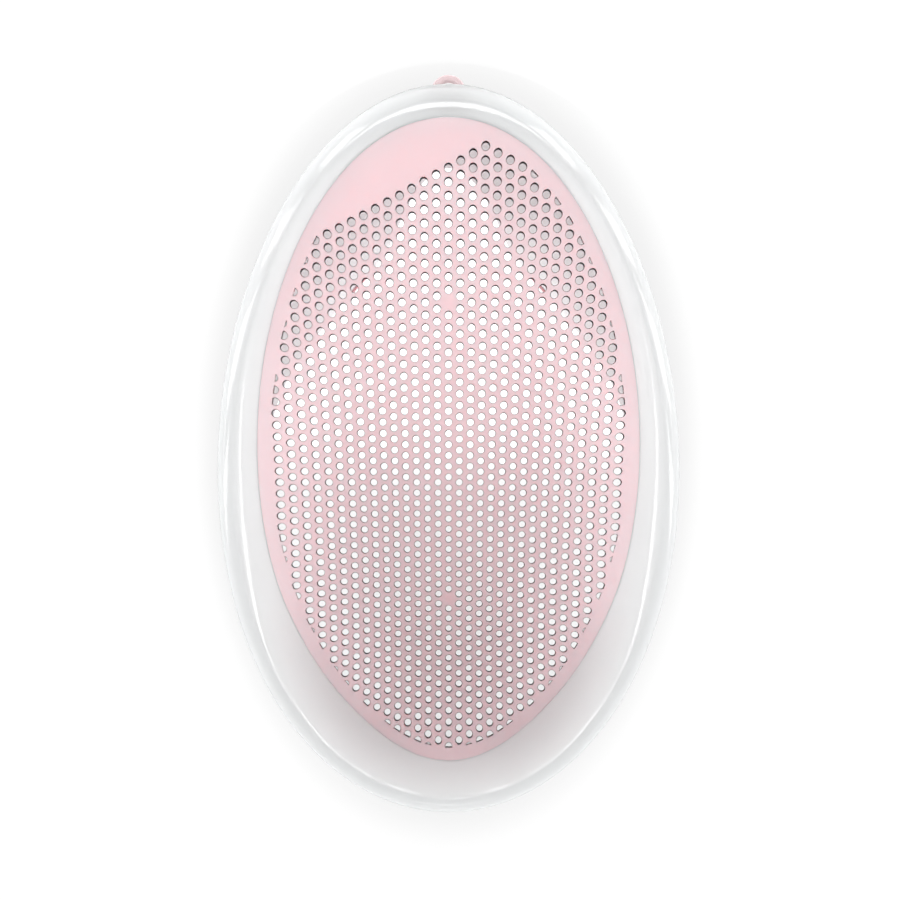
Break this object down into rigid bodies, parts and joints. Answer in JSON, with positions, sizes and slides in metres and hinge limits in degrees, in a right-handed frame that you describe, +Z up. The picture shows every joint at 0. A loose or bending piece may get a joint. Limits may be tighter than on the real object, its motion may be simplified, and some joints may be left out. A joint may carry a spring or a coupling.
{
  "type": "infant bath support",
  "caption": "Reclined infant bath support: soft perforated seat in a glossy egg-shaped rim, with non-slip pads and a fold-out hanging loop.",
  "frame": {"origin": "on the floor, in the middle of the whole object's length and width", "axes": "+Y towards the raised head end, -Y the foot end, +Z up, X across"},
  "size_m": [0.3676, 0.583, 0.21],
  "materials": {
    "frame_gloss": "high gloss white moulding",
    "seat_soft": "soft-touch pale pink elastomer, satin",
    "pad_soft": "matt pink elastomer",
    "pin_steel": "stainless, satin",
    "loop_pink": "pink moulded plastic, slight gloss"
  },
  "bodies": {
    "support": {"frame": "frame_gloss", "seat": "seat_soft", "pad_rear_left": "pad_soft", "pad_rear_right": "pad_soft", "pad_front_left": "pad_soft", "pad_front_right": "pad_soft", "loop_bracket": "frame_gloss", "loop_pin": "pin_steel"},
    "loop": {"hanging_loop": "loop_pink"}
  },
  "joints": [
    {"name": "loop_fold", "type": "hinge", "parent": "support", "child": "loop", "pos_m": [0, 0.2657, 0.195], "axis": [-1, 0, 0], "range_deg": [0, 90]}
  ]
}
